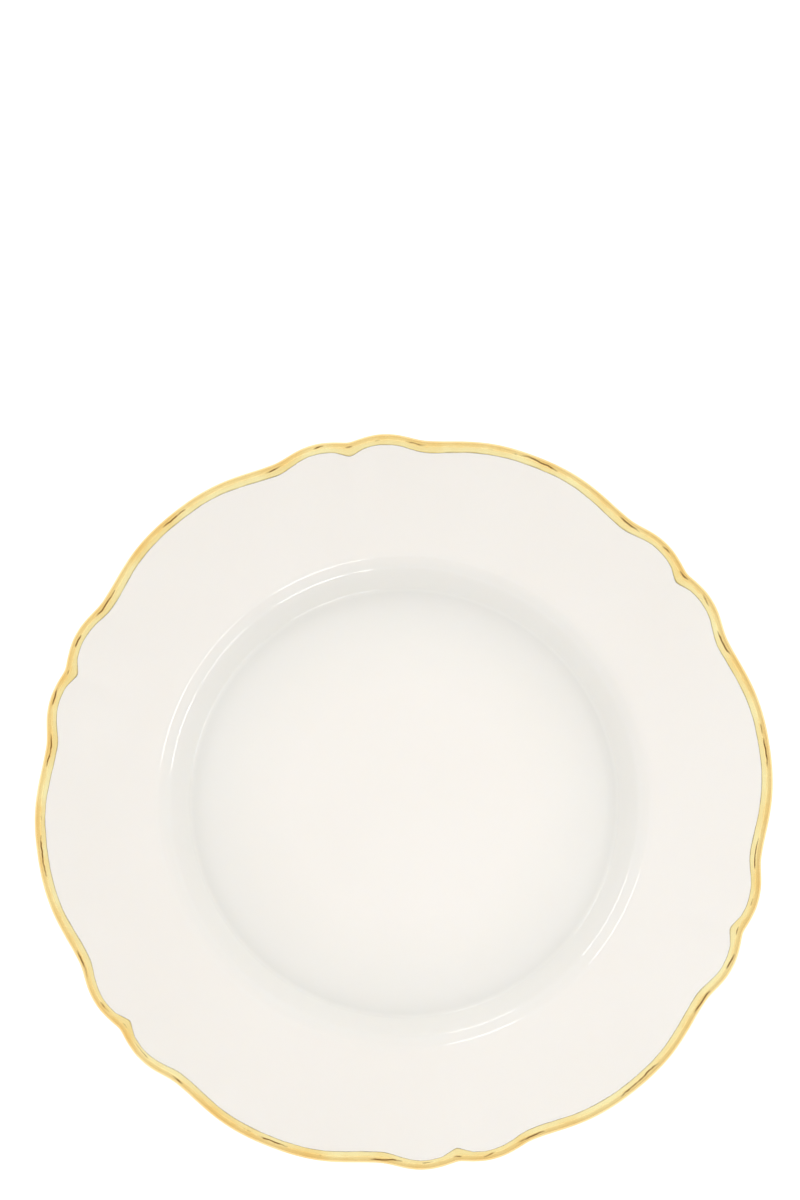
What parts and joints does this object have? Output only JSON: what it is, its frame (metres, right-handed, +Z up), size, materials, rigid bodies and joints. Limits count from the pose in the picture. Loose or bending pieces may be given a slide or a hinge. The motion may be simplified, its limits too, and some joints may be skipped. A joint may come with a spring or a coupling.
{
  "type": "dinner plate",
  "caption": "Round porcelain dinner plate with a shallow well, a double-lined shoulder, a scalloped rim with cusps and a gilded lip, on a foot ring.",
  "frame": {"origin": "centre of the foot ring's circle, on the surface that the plate stands on", "axes": "+Z up out of the well, +X through the middle of one main lobe of the rim"},
  "size_m": [0.2698, 0.2676, 0.0233],
  "materials": {
    "bisque_porcelain": "matte",
    "clear_glaze_on_porcelain": "polished",
    "burnished_gold": "gloss"
  },
  "bodies": {
    "root": {"porcelain_body": "bisque_porcelain", "glaze_coat": "clear_glaze_on_porcelain", "foot_recess_glaze": "clear_glaze_on_porcelain", "gold_rim_band": "burnished_gold"}
  },
  "joints": []
}
